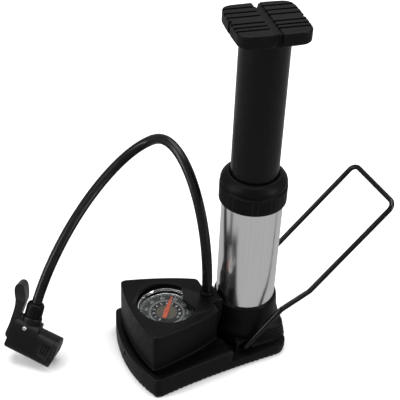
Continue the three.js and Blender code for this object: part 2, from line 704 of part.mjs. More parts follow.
function leverOutline() {
  const shape = new THREE.Shape();
  shape.moveTo(-32.2, 26.4);
  shape.lineTo(-33, 39);
  shape.quadraticCurveTo(-34.4, 45, -38, 49.8);
  shape.quadraticCurveTo(-41, 52.6, -43.8, 49.2);
  shape.quadraticCurveTo(-45, 46.4, -42.4, 42);
  shape.quadraticCurveTo(-39.2, 37, -38.2, 29);
  shape.lineTo(-37.2, 18);
  shape.lineTo(-37.2, 11);
  shape.quadraticCurveTo(-37, 7.6, -34.4, 7.2);
  shape.quadraticCurveTo(-31.4, 10.2, PIN.x, PIN.z - 11.5);
  shape.lineTo(PIN.x, PIN.z - 4);
  shape.absarc(PIN.x, PIN.z, 4, -Math.PI / 2, Math.PI / 2);
  return shape;
}

function makeLever() {
  const blade = upright(leverOutline(), 9);
  const thumb = upright(leverOutline(), 10.4).intersect(block([-60, -10, 39], [0, 10, 60]));
  return cut(join(blade, thumb), crossRod(PIN.radius + GAP, PIN.x, PIN.z, -14, 14));
}

function makeNut() {
  const { bottom, top, radius, boreFloor } = NUT;
  const outer = turned([
    [0, bottom], [radius, bottom], [radius, top - 2.4],
    [radius - 0.7, top - 0.7], [radius - 2.1, top], [0, top],
  ]);
  return cut(outer, disc(4.15, boreFloor, 30), disc(2.2, 0, 12));
}

function makePusher() {
  const rod = new THREE.CylinderGeometry(5, 5, 3.1, FINE).rotateZ(-Math.PI / 2).translate(-11.15, 0, 0);
  const tail = new THREE.CylinderGeometry(5, 3.6, 1, FINE).rotateZ(-Math.PI / 2).translate(-13.2, 0, 0);
  return join(toSolid(rod), toSolid(tail)).translate([0, 0, CHAMBER.z]);
}

function makeGrommet() {
  return cut(longRod(5, CHAMBER.z, -8, 2.4), longRod(3.8, CHAMBER.z, -9, 4));
}

place('head_body', makeHeadBody(), 'plastic', head);
place('head_nozzle', makeHeadNozzle(), 'plastic', head);
place('head_nut', makeNut(), 'plastic', neck);
place('head_barb', ring(1, 1.9, NUT.bottom + 0.1, NUT.boreFloor, 16), 'brass', neck);
place('head_lever', makeLever(), 'satin', head);
place('lever_pin', crossRod(PIN.radius, PIN.x, PIN.z, -PIN.half, PIN.half), 'steel', head);
place('head_pusher', makePusher(), 'satin', head);
place('head_grommet', makeGrommet(), 'rubber', head);

// ---------------------------------------------------------------- hose and its gland

function makeGland() {
  const { x, bottom, top, radius } = GLAND;
  const body = turned([
    [0, 44.5], [2.9, 44.5], [2.9, bottom], [radius, bottom], [radius, 50.6], [radius - 0.7, top], [0, top],
  ]);
  const hoseSeat = disc(HOSE.radius + GAP, 49.5, 60);
  return cut(body, hoseSeat, disc(1.4, 40, 50)).translate([x, 0, 0]);
}

// The hose stands up out of the gland, arches over behind the gauge and drops into the nut on the head.
function hoseCurve() {
  const start = new THREE.Vector3(GLAND.x, 0, GLAND.hoseStart);
  const end = neck.localToWorld(new THREE.Vector3(0, 0, NUT.hoseEnd));
  const crest = new THREE.Vector3(-45.7, 70.9, 144.1);
  const along = new THREE.Vector3(-0.353, 0.748, -0.562).normalize();
  const rising = start.clone().add(new THREE.Vector3(0, 0, 67));
  const falling = end.clone().addScaledVector(hoseUp, 71);
  const curve = new THREE.CurvePath();
  curve.add(new THREE.CubicBezierCurve3(start, rising, crest.clone().addScaledVector(along, -35), crest));
  curve.add(new THREE.CubicBezierCurve3(crest, crest.clone().addScaledVector(along, 40), falling, end));
  return curve;
}

place('hose_gland', makeGland(), 'plastic');
place('air_hose', sweep(hoseCurve(), HOSE.radius, HOSE.sides, HOSE.steps), 'hose');

export default pump;
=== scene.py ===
"""Looks of a foot-operated bicycle pump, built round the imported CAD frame."""

import math

import bmesh
import bpy
from mathutils import Matrix, Vector


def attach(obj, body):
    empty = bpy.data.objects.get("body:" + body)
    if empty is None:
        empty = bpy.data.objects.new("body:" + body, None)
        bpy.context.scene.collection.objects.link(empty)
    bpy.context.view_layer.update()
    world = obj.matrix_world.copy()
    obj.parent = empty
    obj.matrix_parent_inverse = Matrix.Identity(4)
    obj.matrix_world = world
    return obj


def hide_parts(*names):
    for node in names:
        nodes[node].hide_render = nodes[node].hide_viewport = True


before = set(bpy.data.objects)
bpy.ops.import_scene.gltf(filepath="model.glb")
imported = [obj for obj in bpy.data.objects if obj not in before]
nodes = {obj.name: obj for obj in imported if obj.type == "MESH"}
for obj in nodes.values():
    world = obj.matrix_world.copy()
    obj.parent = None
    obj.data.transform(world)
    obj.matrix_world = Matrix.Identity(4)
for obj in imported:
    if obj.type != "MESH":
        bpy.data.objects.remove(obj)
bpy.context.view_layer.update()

MM = 0.001
BASE = "base"

# ------------------------------------------------------------------ camera

CAMERA_AT = Vector((-0.2868, -0.5121, 0.5482))
CAMERA_AZIMUTH = -25.65
CAMERA_ELEVATION = 35.96
CAMERA_ROLL = 2.58
CAMERA_LENS = 92.15


def add_camera():
    data = bpy.data.cameras.new("camera")
    data.lens = CAMERA_LENS
    data.sensor_width = 36
    camera = bpy.data.objects.new("camera", data)
    bpy.context.scene.collection.objects.link(camera)
    turn = (
        Matrix.Rotation(math.radians(CAMERA_AZIMUTH), 4, "Z")
        @ Matrix.Rotation(math.radians(90 - CAMERA_ELEVATION), 4, "X")
        @ Matrix.Rotation(math.radians(CAMERA_ROLL), 4, "Z")
    )
    camera.matrix_world = Matrix.Translation(CAMERA_AT) @ turn
    bpy.context.scene.camera = camera


add_camera()

# ------------------------------------------------------------------ materials


def make_material(name, color, roughness, metallic=0.0, **inputs):
    material = bpy.data.materials.new(name)
    material.use_nodes = True
    shader = material.node_tree.nodes["Principled BSDF"]
    shader.inputs["Base Color"].default_value = (*color, 1)
    shader.inputs["Roughness"].default_value = roughness
    shader.inputs["Metallic"].default_value = metallic
    for key, value in inputs.items():
        shader.inputs[key.replace("_", " ")].default_value = value
    return material, shader


def link(material, out_node, out_name, in_node, in_name):
    material.node_tree.links.new(out_node.outputs[out_name], in_node.inputs[in_name])


def add_node(material, kind, **settings):
    node = material.node_tree.nodes.new(kind)
    for key, value in settings.items():
        if key in node.inputs:
            node.inputs[key].default_value = value
        else:
            setattr(node, key, value)
    return node


def object_noise(material, scale, detail=3.0, stretch=(1, 1, 1)):
    """Noise in object space, in metres times the scale, with the axes stretched."""
    place = add_node(material, "ShaderNodeTexCoord")
    mapping = add_node(material, "ShaderNodeMapping")
    mapping.inputs["Scale"].default_value = stretch
    noise = add_node(material, "ShaderNodeTexNoise", Scale=scale, Detail=detail)
    link(material, place, "Object", mapping, "Vector")
    link(material, mapping, "Vector", noise, "Vector")
    return noise


def ramp(material, source, stops, out_name="Fac"):
    node = add_node(material, "ShaderNodeValToRGB")
    node.color_ramp.elements[0].position = stops[0][0]
    node.color_ramp.elements[0].color = (*stops[0][1], 1)
    node.color_ramp.elements[1].position = stops[-1][0]
    node.color_ramp.elements[1].color = (*stops[-1][1], 1)
    for position, color in stops[1:-1]:
        element = node.color_ramp.elements.new(position)
        element.color = (*color, 1)
    link(material, source, out_name, node, "Fac")
    return node


def grey(value):
    return (value, value, value * 1.02)


def add_bump(material, shader, source, strength, distance, out_name="Fac"):
    bump = add_node(material, "ShaderNodeBump", Strength=strength, Distance=distance)
    link(material, source, out_name, bump, "Height")
    link(material, bump, "Normal", shader, "Normal")


def moulded(name, tone, roughness, grain, depth, edge_highlight, specular):
    """Moulded plastic or rubber: spark texture, blotchy tone, patchy gloss and a painted highlight along
    convex edges.
    """
    material, shader = make_material(name, grey(tone), roughness)
    shader.inputs["Specular IOR Level"].default_value = specular
    blotch = object_noise(material, 60, 4)
    tint = ramp(material, blotch, [(0.3, grey(tone * 0.82)), (0.72, grey(tone * 1.22))])
    # Painted highlight: convex edges, found from pointiness, are mixed towards a pale grey.
    shape = add_node(material, "ShaderNodeNewGeometry")
    edge = ramp(material, shape, [(0.515, (0, 0, 0)), (0.6, (edge_highlight, edge_highlight, edge_highlight))], "Pointiness")
    highlight_mix = add_node(material, "ShaderNodeMixRGB", blend_type="MIX")
    highlight_mix.inputs["Color2"].default_value = (*grey(tone * 9), 1)
    link(material, edge, "Color", highlight_mix, "Fac")
    link(material, tint, "Color", highlight_mix, "Color1")
    link(material, highlight_mix, "Color", shader, "Base Color")
    smear = object_noise(material, 220, 5)
    dull = ramp(material, smear, [(0.3, grey(roughness - 0.07)), (0.75, grey(roughness + 0.09))])
    link(material, dull, "Color", shader, "Roughness")
    spark = object_noise(material, grain, 2)
    add_bump(material, shader, spark, depth, 0.00012)
    return material


def drawn_metal(name, tone, low, high, stretch, scale=900, depth=0.12, streak=0.86):
    """Drawn or polished metal: fine lines along the draw, with uneven gloss."""
    material, shader = make_material(name, tone, (low + high) / 2, 1.0)
    lines = object_noise(material, scale, 3, stretch)
    gloss = ramp(material, lines, [(0.3, grey(low)), (0.7, grey(high))])
    link(material, gloss, "Color", shader, "Roughness")
    dark = tuple(channel * streak for channel in tone)
    tint = ramp(material, lines, [(0.25, dark), (0.75, tone)])
    link(material, tint, "Color", shader, "Base Color")
    add_bump(material, shader, lines, depth, 0.00004)
    return material


def enamel(name, tone, roughness):
    """Glossy enamel with a faint orange peel."""
    material, shader = make_material(name, grey(tone), roughness)
    shader.inputs["Specular IOR Level"].default_value = 0.2
    shader.inputs["Coat Weight"].default_value = 0.12
    shader.inputs["Coat Roughness"].default_value = 0.08
    peel = object_noise(material, 700, 2)
    add_bump(material, shader, peel, 0.16, 0.00008)
    fade = ramp(material, object_noise(material, 90, 3), [(0.3, grey(tone * 0.8)), (0.7, grey(tone * 1.3))])
    link(material, fade, "Color", shader, "Base Color")
    return material


def printed(name, color, roughness):
    """Printed or painted metal, with slight tone changes."""
    material, shader = make_material(name, color, roughness)
    shader.inputs["Specular IOR Level"].default_value = 0.2
    low = tuple(channel * 0.88 for channel in color)
    high = tuple(min(1, channel * 1.08) for channel in color)
    fade = ramp(material, object_noise(material, 160, 4), [(0.3, low), (0.7, high)])
    link(material, fade, "Color", shader, "Base Color")
    add_bump(material, shader, object_noise(material, 1800, 2), 0.08, 0.00003)
    return material


def clear_lens(name):
    material, shader = make_material(name, (0.96, 0.98, 0.98), 0.03)
    shader.inputs["Transmission Weight"].default_value = 1.0
    shader.inputs["IOR"].default_value = 1.22
    smear = object_noise(material, 120, 4)
    haze = ramp(material, smear, [(0.35, grey(0.015)), (0.8, grey(0.07))])
    link(material, haze, "Color", shader, "Roughness")
    return material


# The edge amounts below are painted highlights along convex edges.
PLASTIC = moulded("moulded_black", 0.0018, 0.42, 2600, 0.35, edge_highlight=0.45, specular=0.08)
INNER = moulded("inner_black", 0.004, 0.55, 2000, 0.25, edge_highlight=0.1, specular=0.15)
SATIN = moulded("satin_black", 0.0012, 0.27, 3200, 0.14, edge_highlight=0.1, specular=0.17)
TREAD = moulded("tread_black", 0.002, 0.42, 2200, 0.4, edge_highlight=0.2, specular=0.09)
SOLE = moulded("sole_rubber", 0.0025, 0.66, 1800, 0.5, edge_highlight=0.16, specular=0.12)
SEAL = moulded("seal_rubber", 0.003, 0.55, 2400, 0.3, edge_highlight=0.1, specular=0.2)
HOSE = moulded("hose_rubber", 0.002, 0.3, 1500, 0.25, edge_highlight=0.1, specular=0.22)
LEVER = moulded("lever_black", 0.004, 0.32, 3000, 0.16, edge_highlight=0.15, specular=0.3)
HEAD = moulded("head_black", 0.003, 0.4, 2600, 0.3, edge_highlight=0.25, specular=0.14)
WIRE = enamel("wire_enamel", 0.001, 0.13)
ALUMINIUM = drawn_metal(
    "barrel_aluminium", (0.86, 0.86, 0.87), 0.16, 0.22, (1, 1, 0.02), depth=0.012, streak=0.95)
CHROME = drawn_metal("bezel_chrome", (0.87, 0.87, 0.88), 0.04, 0.10, (1, 1, 6), 500, 0.05)
STEEL = drawn_metal("screw_steel", (0.62, 0.62, 0.63), 0.22, 0.4, (1, 1, 1), 1500, 0.2)
BRASS = drawn_metal("gauge_brass", (0.66, 0.48, 0.20), 0.25, 0.42, (1, 1, 1), 1200, 0.2)
DIAL_GREY = printed("dial_grey", (0.03, 0.032, 0.034), 0.45)
DIAL_BROWN = printed("dial_brown", (0.085, 0.075, 0.058), 0.45)
DIAL_PALE = printed("dial_pale", (0.38, 0.38, 0.38), 0.5)
DIAL_BLACK = printed("dial_black", (0.006, 0.006, 0.007), 0.45)
DIAL_WHITE = printed("dial_white", (0.86, 0.86, 0.85), 0.5)
NEEDLE = printed("needle_orange", (0.42, 0.075, 0.035), 0.4)
LENS = clear_lens("lens_clear")

# ------------------------------------------------------------------ mesh helpers

# Edges that turn by more degrees than this stay sharp.
PIECE_SHARP = 34
NODE_SHARP = 30


def to_object(name, bm):
    bmesh.ops.remove_doubles(bm, verts=bm.verts, dist=1e-7)
    bmesh.ops.recalc_face_normals(bm, faces=bm.faces)
    mesh = bpy.data.meshes.new(name)
    bm.to_mesh(mesh)
    bm.free()
    thing = bpy.data.objects.new(name, mesh)
    bpy.context.scene.collection.objects.link(thing)
    return thing


def rounded(points, radius, closed=False, steps=3):
    """A 2-D outline in millimetres with each corner rounded by the given radius."""
    count = len(points)
    found = []
    for i, point in enumerate(points):
        here = Vector(point)
        if not closed and i in (0, count - 1):
            found.append(tuple(here))
            continue
        back = Vector(points[i - 1]) - here
        on = Vector(points[(i + 1) % count]) - here
        turn = math.pi - back.angle(on)
        if turn < 0.12:
            found.append(tuple(here))
            continue
        reach = min(radius * math.tan(turn / 2), back.length * 0.45, on.length * 0.45)
        first = here + back.normalized() * reach
        last = here + on.normalized() * reach
        for step in range(steps + 1):
            t = step / steps
            found.append(tuple(first * (1 - t) ** 2 + here * 2 * t * (1 - t) + last * t * t))
    return found


def lathe(name, profile, closed=False, edge=0.4, segments=96, centre=(0, 0)):
    """Turned about Z from [radius, height] points in millimetres."""
    outline = rounded(profile, edge, closed)
    bm = bmesh.new()
    rings = []
    for radius, height in outline:
        if radius < 1e-6:
            rings.append([bm.verts.new((centre[0] * MM, centre[1] * MM, height * MM))])
            continue
        ring = []
        for i in range(segments):
            angle = 2 * math.pi * i / segments
            x = (centre[0] + radius * math.cos(angle)) * MM
            y = (centre[1] + radius * math.sin(angle)) * MM
            ring.append(bm.verts.new((x, y, height * MM)))
        rings.append(ring)
    pairs = list(zip(rings, rings[1:]))
    if closed:
        pairs.append((rings[-1], rings[0]))
    for low, high in pairs:
        for i in range(segments):
            j = (i + 1) % segments
            corners = [low[i % len(low)], low[j % len(low)], high[j % len(high)], high[i % len(high)]]
            corners = list(dict.fromkeys(corners))
            if len(corners) > 2:
                bm.faces.new(corners)
    return to_object(name, bm)


def loft(name, rings):
    """A closed solid through rings of the same number of points, given in millimetres."""
    bm = bmesh.new()
    made = [[bm.verts.new(Vector(point) * MM) for point in ring] for ring in rings]
    for low, high in zip(made, made[1:]):
        for i, corner in enumerate(low):
            j = (i + 1) % len(low)
            bm.faces.new((corner, low[j], high[j], high[i]))
    bm.faces.new(made[0])
    bm.faces.new(made[-1])
    return to_object(name, bm)


def flat_ring(outline, height):
    return [(x, y, height) for x, y in outline]


def band(inner, outer, low, high):
    """The section of a plain ring, as [radius, height] points."""
    return [(inner, low), (outer, low), (outer, high), (inner, high)]


def rounded_plate(name, outline_at, bottom, top, edge, lower_edge=0.0, steps=4):
    """A plate whose outline_at(inset) is lofted with a round upper edge, and a lower one if asked."""
    levels = []
    if lower_edge:
        for step in range(steps + 1):
            angle = math.pi / 2 * step / steps
            levels.append((lower_edge * (1 - math.sin(angle)), bottom + lower_edge * (1 - math.cos(angle))))
    else:
        levels.append((0, bottom))
    for step in range(steps + 1):
        angle = math.pi / 2 * step / steps
        levels.append((edge * (1 - math.cos(angle)), top - edge * (1 - math.sin(angle))))
    return loft(name, [flat_ring(outline_at(inset), height) for inset, height in levels])


def prism(name, outline, low, high, plane="XY"):
    """An outline in millimetres made thick along the axis that its plane leaves out."""
    def at(point, depth):
        return (point[0], point[1], depth) if plane == "XY" else (point[0], depth, point[1])
    return loft(name, [[at(p, low) for p in outline], [at(p, high) for p in outline]])


def prism_along_x(name, outline, low, high):
    return loft(name, [[(low, y, z) for y, z in outline], [(high, y, z) for y, z in outline]])


def rounded_prism(name, outline, low, high, edge=0.12):
    """A flat piece with a small chamfer all round its upper face."""
    middle = Vector((sum(p[0] for p in outline), sum(p[1] for p in outline))) / len(outline)
    inner = [tuple(Vector(p) + (middle - Vector(p)).normalized() * edge) for p in outline]
    return loft(name, [flat_ring(outline, low), flat_ring(outline, high - edge), flat_ring(inner, high)])


def box_block(name, low, high):
    outline = [(low[0], low[1]), (high[0], low[1]), (high[0], high[1]), (low[0], high[1])]
    return prism(name, outline, low[2], high[2])


def rod(name, radius, start, end, segments=48):
    """A plain round bar between two points in millimetres."""
    start, end = Vector(start), Vector(end)
    axis = (end - start).normalized()
    side = axis.orthogonal().normalized()
    other = axis.cross(side)
    turns = [2 * math.pi * i / segments for i in range(segments)]
    section = [side * math.cos(a) * radius + other * math.sin(a) * radius for a in turns]
    return loft(name, [[start + p for p in section], [end + p for p in section]])


def combine(thing, operation, *others):
    """Boolean join or cut, applied; the other objects are used up."""
    for other in others:
        modifier = thing.modifiers.new("cut", "BOOLEAN")
        modifier.operation = operation
        modifier.solver = "EXACT"
        modifier.object = other
        apply_modifiers(thing)
        bpy.data.objects.remove(other)


def apply_modifiers(thing):
    graph = bpy.context.evaluated_depsgraph_get()
    made = bpy.data.meshes.new_from_object(thing.evaluated_get(graph))
    made.name = thing.name
    old = thing.data
    thing.modifiers.clear()
    thing.data = made
    bpy.data.meshes.remove(old)


def weld(thing, distance=0.01):
    """Points closer than the distance in millimetres become one, and flat slivers go."""
    bm = bmesh.new()
    bm.from_mesh(thing.data)
    bmesh.ops.remove_doubles(bm, verts=bm.verts, dist=distance * MM)
    bmesh.ops.dissolve_degenerate(bm, edges=bm.edges, dist=distance * MM)
    bm.to_mesh(thing.data)
    bm.free()


def soften(thing, width, segments, angle):
    """Edges sharper than the angle in degrees get a round of the width in millimetres."""
    weld(thing)
    modifier = thing.modifiers.new("edges", "BEVEL")
    modifier.width = width * MM
    modifier.segments = segments
    modifier.limit_method = "ANGLE"
    modifier.angle_limit = math.radians(angle)
    modifier.use_clamp_overlap = True
    modifier.harden_normals = False


def dress(thing, material, slot, body, *stands_for):
    """Smooth shading, material and body, and the CAD nodes that the piece stands for; the slot is not used.
    """
    thing.data.materials.clear()
    thing.data.materials.append(material)
    if thing.type == "MESH":
        thing.data.shade_smooth()
        if not thing.modifiers:
            thing.data.set_sharp_from_angle(angle=math.radians(PIECE_SHARP))
        normals = thing.modifiers.new("normals", "WEIGHTED_NORMAL")
        normals.keep_sharp = True
    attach(thing, body)
    if stands_for:
        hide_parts(*stands_for)
    return thing


def keep(name, material):
    """A CAD node that stays, with a finished material and smooth shading."""
    node = nodes[name]
    node.data.materials.clear()
    node.data.materials.append(material)
    node.data.shade_smooth()
    node.data.set_sharp_from_angle(angle=math.radians(NODE_SHARP))
    return node


def arc(start, control, end, steps=10):
    """Points of a quadratic curve, without its first point."""
    start, control, end = Vector(start), Vector(control), Vector(end)
    found = []
    for step in range(1, steps + 1):
        t = step / steps
        found.append(tuple(start * (1 - t) ** 2 + control * 2 * t * (1 - t) + end * t * t))
    return found


def outline_of(start, moves):
    """An outline from a start point and moves: (end,) is a line and (control, end) a curve."""
    points = [start]
    for move in moves:
        points += [move[0]] if len(move) == 1 else arc(points[-1], move[0], move[1])
    if (Vector(points[0]) - Vector(points[-1])).length < 1e-6:
        points.pop()
    return points


def join_meshes(things):
    """The later meshes go into the first one."""
    bm = bmesh.new()
    for thing in things:
        bm.from_mesh(thing.data)
    bm.to_mesh(things[0].data)
    bm.free()
    for thing in things[1:]:
        bpy.data.objects.remove(thing)


def ring_of_rods(name, count, distance, radius, low, high):
    """Thin upright cutters at the same distance from Z, as one object."""
    rods = []
    for i in range(count):
        angle = 2 * math.pi * i / count
        spot = (distance * math.cos(angle), distance * math.sin(angle))
        rods.append(rod(name, radius, (*spot, low), (*spot, high), 10))
    join_meshes(rods)
    return rods[0]


def lay_across(piece, place, degrees=90):
    """Turns a piece from about Z to about the line along Y through the place, [x, z] in millimetres."""
    turn = Matrix.Rotation(math.radians(degrees), 4, "X")
    piece.data.transform(Matrix.Translation(Vector((place[0], 0, place[1])) * MM) @ turn)


# ------------------------------------------------------------------ head and hose


def basis(x_axis, y_axis, z_axis, origin):
    turn = Matrix((x_axis, y_axis, z_axis)).transposed().to_4x4()
    return Matrix.Translation(Vector(origin) * MM) @ turn


def aim(azimuth, elevation):
    """A unit vector from its azimuth and elevation in degrees."""
    turn, rise = math.radians(azimuth), math.radians(elevation)
    return Vector((math.cos(turn) * math.cos(rise), math.sin(turn) * math.cos(rise), math.sin(rise)))


# The head is drawn in its own axes, in millimetres: x is where the mouth points, y is across and z is
# up through the head. The neck's own Z is the way the hose leaves.
HEAD_AT = (-150.7, 19.65, 1.95)
NECK_AT = (-23.3, 0, 24.3)
HOSE_UP = aim(25, 67)
HEAD_MOUTH = aim(-40.6, -19)
HEAD_SIDE = HOSE_UP.cross(HEAD_MOUTH).normalized()
HEAD_UP = HEAD_MOUTH.cross(HEAD_SIDE)
HEAD_FRAME = basis(HEAD_MOUTH, HEAD_SIDE, HEAD_UP, HEAD_AT)
NECK_TURN = math.asin(HEAD_MOUTH.dot(HOSE_UP))
NECK = Matrix.Translation(Vector(NECK_AT) * MM) @ Matrix.Rotation(NECK_TURN, 4, "Y")
HEAD_HIGH = 26.6
HEAD_LOW = 23
HEAD_PAST = 15
PIN = (-25, 22.8)
PIN_HOLE = 1.9
LEVER_ROOM = 4.8
BLADE_HALF = 4.5
THUMB_HALF = 5.2
MOUTH_Z = 13.3
CHAMBER = 5.3
GRIP_SLOTS = (-7.4, -5.2, -3)
GLAND = (-31.9, 0)
HOSE_RADIUS = 3.8
HOSE_FOOT = 49.8
HOSE_IN_NUT = 10.9


def head_bar(name, stations):
    """The rounded section of the head, as [x, half width, height] stations along the mouth axis."""
    rings = []
    for x, half, high in stations:
        section = rounded([(-half, 0), (half, 0), (half, high), (-half, high)], 11, True, 9)
        rings.append([(x, y, z) for y, z in section])
    return loft(name, rings)


def along_x(name, profile, closed=True, edge=0.25):
    """Turned about the mouth axis from [radius, x] points."""
    piece = lathe(name, profile, closed, edge, segments=64)
    turn = Matrix.Rotation(math.radians(90), 4, "Y")
    piece.data.transform(Matrix.Translation((0, 0, MOUTH_Z * MM)) @ turn)
    return piece


def mouth_rod(name, radius, start, end, segments=48):
    """A round bar on the mouth axis, from one x to another."""
    return rod(name, radius, (start, 0, MOUTH_Z), (end, 0, MOUTH_Z), segments)


def pin_rod(name, radius, half, segments=48):
    """A round bar on the axis of the lever's pin, reaching as far to both sides."""
    return rod(name, radius, (PIN[0], -half, PIN[1]), (PIN[0], half, PIN[1]), segments)


def lever_outline():
    """The lever from the side: the arm with its thumb end, and the hub round the pin."""
    points = outline_of((-32.2, 26.4), [
        ((-33, 39),),
        ((-34.4, 45), (-38, 49.8)),
        ((-41, 52.6), (-43.8, 49.2)),
        ((-45, 46.4), (-42.4, 42)),
        ((-39.2, 37), (-38.2, 29)),
        ((-37.2, 18),),
        ((-37.2, 11),),
        ((-37, 7.6), (-34.4, 7.2)),
        ((-31.4, 10.2), (PIN[0], PIN[1] - 11.5)),
    ])
    for step in range(13):
        angle = math.radians(-90 + 180 * step / 12)
        points.append((PIN[0] + 4 * math.cos(angle), PIN[1] + 4 * math.sin(angle)))
    return points


def on_neck(piece):
    """Moves a piece from about Z to about the neck, where the hose comes in."""
    piece.data.transform(NECK)
    return piece


def make_head_body():
    body = head_bar("head_shell", [
        (-42, 9.8, HEAD_HIGH), (-34, 10, HEAD_HIGH), (-24, 10, HEAD_HIGH), (-15.5, 9.65, HEAD_HIGH),
        (-15, 9.6, HEAD_HIGH - 0.7), (-14.8, 9.6, HEAD_LOW + 0.5), (-14.2, 9.5, HEAD_LOW),
        (-10.5, 9.5, HEAD_LOW), (-8.5, 9.8, HEAD_LOW), (-0.6, 10, HEAD_LOW)])
    profile = outline_of((-0.6, -1), [
        ((-28, -1),), ((-34, -0.6), (-34, 6)), ((-34, 22),),
        ((-34, 26.6), (-29, 27.6)), ((-0.6, 27.6),),
    ])
    combine(body, "INTERSECT", prism("profile", profile, -HEAD_PAST, HEAD_PAST, "XZ"))
    boss = lathe("boss", [(0, -7.5), (7.2, -7.5), (7.2, 4.9), (6.7, 6.1), (0, 6.1)], segments=72)
    combine(body, "UNION", on_neck(boss))
    sweep = pin_rod("sweep", 19, LEVER_ROOM, 72)
    limit = box_block("limit", (-60, -9, 0), (-12.8, 9, 20.2))
    combine(limit, "UNION", box_block("limit_high", (-60, -9, 15), (-16, 9, 23.1)))
    combine(sweep, "INTERSECT", limit)
    cuts = [
        sweep,
        pin_rod("hub_room", 4.5, LEVER_ROOM),
        box_block("neck_room", (-60, -LEVER_ROOM, 5), (PIN[0] - 1, LEVER_ROOM, 28.3)),
        box_block("arm_room", (-60, -LEVER_ROOM, 5), (-32.3, LEVER_ROOM, 40)),
        mouth_rod("chamber", CHAMBER, -16, 1),
        mouth_rod("counterbore", 7.7, -5.3, 1, 64),
        on_neck(rod("air_hole", 1, (0, 0, -3), (0, 0, 8), 16)),
        pin_rod("pin_hole", PIN_HOLE, HEAD_PAST - 1, 32),
    ]
    for x in GRIP_SLOTS:
        outline = rounded(band(x - 0.5, x + 0.5, 11, 20), 0.4, True)
        for low, high in ((-12, -9), (9, 12)):
            cuts.append(prism("grip_slot", outline, low, high, "XZ"))
    combine(body, "DIFFERENCE", *cuts)
    soften(body, 0.4, 3, 36)
    return body, HEAD, "base_plastic", BASE, "head_body"


def make_head_nozzle():
    cap = head_bar("head_cap", [(-1, 10, HEAD_LOW), (6, 10, HEAD_LOW)])
    front = outline_of((-0.3, -1), [
        ((1.4, -1),),
        ((5.4, MOUTH_Z), (1.4, HEAD_LOW + 1)),
        ((-0.3, HEAD_LOW + 1),),
    ])
    combine(cap, "INTERSECT", prism("front", front, -HEAD_PAST, HEAD_PAST, "XZ"))
    combine(cap, "UNION", mouth_rod("spigot", 7.4, -5, 1, 64))
    mouth = along_x("mouth", [(0, 2), (3.9, 2), (3.9, 2.9), (5.4, 6), (0, 6)], closed=False, edge=0)
    combine(cap, "DIFFERENCE", mouth_rod("bore", CHAMBER, -6, 2.7), mouth)
    soften(cap, 0.8, 4, 50)
    return cap, HEAD, "base_plastic", BASE, "head_nozzle"


def make_head_lever():
    blade = prism("lever_blade", lever_outline(), -BLADE_HALF, BLADE_HALF, "XZ")
    thumb = prism("thumb", lever_outline(), -THUMB_HALF, THUMB_HALF, "XZ")
    pad = prism("pad", rounded(band(-60, -20, 39, 70), 1, True), -10, 10, "XZ")
    combine(thumb, "INTERSECT", pad)
    combine(blade, "UNION", thumb)
    combine(blade, "DIFFERENCE", pin_rod("pin_hole", PIN_HOLE, HEAD_PAST - 1, 32))
    soften(blade, 0.7, 3, 40)
    return blade, LEVER, "satin_plastic", "lever", "head_lever"


def make_head_nut():
    nut = lathe("hose_nut", [
        (2.2, 6.4), (6.1, 6.4), (6.5, 6.9), (6.5, 14.2), (5.9, 16.0), (4.6, 16.8),
        (4.15, 16.8), (4.15, 10.5), (2.2, 10.5)], closed=True)
    combine(nut, "DIFFERENCE", ring_of_rods("flute", 20, 6.75, 0.55, 7.8, 13.1))
    soften(nut, 0.15, 2, 40)
    return on_neck(nut), PLASTIC, "base_plastic", BASE, "head_nut"


def make_head_pin():
    pin = lathe("cross_pin", [
        (0, -10.4), (1.2, -10.4), (1.6, -10.0), (1.6, 10.0), (1.2, 10.4), (0, 10.4)], edge=0.15, segments=32)
    lay_across(pin, PIN)
    return pin, STEEL, "screw_steel", BASE, "lever_pin"


def make_head_grommet():
    lip = along_x("mouth_seal", band(3.8, 5, -8, 2.4))
    return lip, SEAL, "seal_rubber", BASE, "head_grommet"


def hose_points(steps=15):
    """The line of the hose in millimetres: up from the gland, over and down into the nut."""
    start = Vector((*GLAND, HOSE_FOOT))
    end = HEAD_FRAME @ NECK @ (Vector((0, 0, HOSE_IN_NUT)) * MM) / MM
    crest = Vector((-45.7, 70.9, 144.1))
    along = Vector((-0.353, 0.748, -0.562)).normalized()
    spans = [
        (start, start + Vector((0, 0, 67)), crest - along * 35, crest),
        (crest, crest + along * 40, end + HOSE_UP * 71, end),
    ]
    found = [start]
    for a, b, c, d in spans:
        for step in range(1, steps + 1):
            t = step / steps
            u = 1 - t
            found.append(a * u**3 + b * 3 * u * u * t + c * 3 * u * t * t + d * t**3)
    return found


def make_hose(points, on_it):
    data = bpy.data.curves.new("air_line", "CURVE")
    data.dimensions = "3D"
    data.resolution_u = 8
    data.bevel_depth = HOSE_RADIUS * MM
    data.bevel_resolution = 7
    data.use_fill_caps = True
    spline = data.splines.new("BEZIER")
    spline.bezier_points.add(len(points) - 1)
    for handle, point in zip(spline.bezier_points, points):
        handle.co = point * MM
        handle.handle_left_type = handle.handle_right_type = "AUTO"
    hose = bpy.data.objects.new("air_line", data)
    bpy.context.scene.collection.objects.link(hose)
    dress(hose, HOSE, "hose_rubber", BASE, "air_hose")


def make_gland():
    gland = lathe("hose_collar", [
        (1.4, 44.5), (2.9, 44.5), (2.9, 48.2), (5, 48.2), (5, 50.6), (4.5, 51.7),
        (4.1, 51.8), (4.1, 49.5), (1.4, 49.5)], closed=True, edge=0.3, segments=64, centre=GLAND)
    dress(gland, PLASTIC, "base_plastic", BASE, "hose_gland")


def make_head():
    on_hose = [keep("head_barb", BRASS), keep("head_pusher", SATIN)]
    makers = (make_head_body, make_head_nozzle, make_head_lever,
              make_head_nut, make_head_pin, make_head_grommet)
    for make in makers:
        piece, material, slot, body, stands_for = make()
        piece.data.transform(HEAD_FRAME)
        on_hose.append(dress(piece, material, slot, body, stands_for))
    return on_hose


make_hose(hose_points(), make_head())
make_gland()

# ------------------------------------------------------------------ outlines, the same as the frame's


